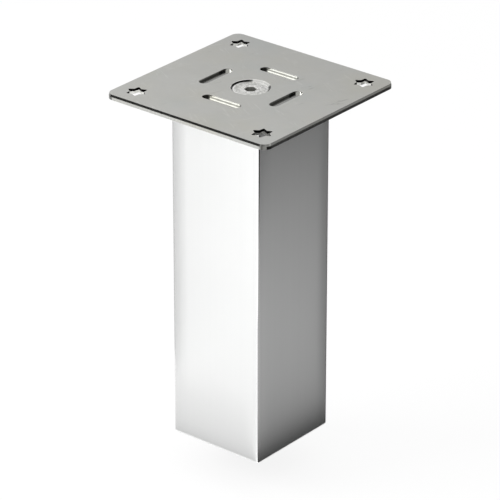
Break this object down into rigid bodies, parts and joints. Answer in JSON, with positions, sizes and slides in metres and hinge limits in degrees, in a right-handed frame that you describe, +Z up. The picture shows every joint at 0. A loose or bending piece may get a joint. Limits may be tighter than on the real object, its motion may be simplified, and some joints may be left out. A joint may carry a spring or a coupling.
{
  "type": "countertop support leg",
  "caption": "Square metal countertop support leg: a tube with a flat screw-on mounting plate with star-shaped screw holes, and a levelling glide hidden in its foot.",
  "frame": {"origin": "middle of the tube's foot, on the surface that the leg stands on", "axes": "+Z up along the tube to the mounting plate, X and Y along the plate's edges"},
  "size_m": [0.11, 0.11, 0.206],
  "materials": {
    "plate_steel": "zinc-plated sheet, satin, with fine handling scratches",
    "screw_steel": "bright zinc-plated, turned head face",
    "tube_aluminium": "satin, drawn along its length",
    "insert_nylon": "glass-filled moulding, fine matt grain",
    "nut_steel": "zinc-plated",
    "glide_nylon": "moulded, lightly worn sole",
    "spindle_steel": "zinc-plated, rolled thread"
  },
  "bodies": {
    "leg": {"mounting_plate": "plate_steel", "fixing_screw": "screw_steel", "leg_tube": "tube_aluminium", "top_insert": "insert_nylon", "top_nut": "nut_steel", "foot_insert": "insert_nylon", "foot_nut": "nut_steel"},
    "glide": {"glide_pad": "glide_nylon"},
    "spindle": {"glide_spindle": "spindle_steel"}
  },
  "joints": [
    {"name": "glide_level", "type": "slide", "parent": "leg", "child": "glide", "axis": [0, 0, -1], "range_m": [0, 0.02]},
    {"name": "spindle_turn", "type": "hinge", "parent": "glide", "child": "spindle", "pos_m": [0, 0, 0.0114], "axis": [0, 0, -1], "continuous": true}
  ],
  "couplings": [
    {"joint": "spindle_turn", "follows": "glide_level", "rad_per_m": 4188.8}
  ]
}
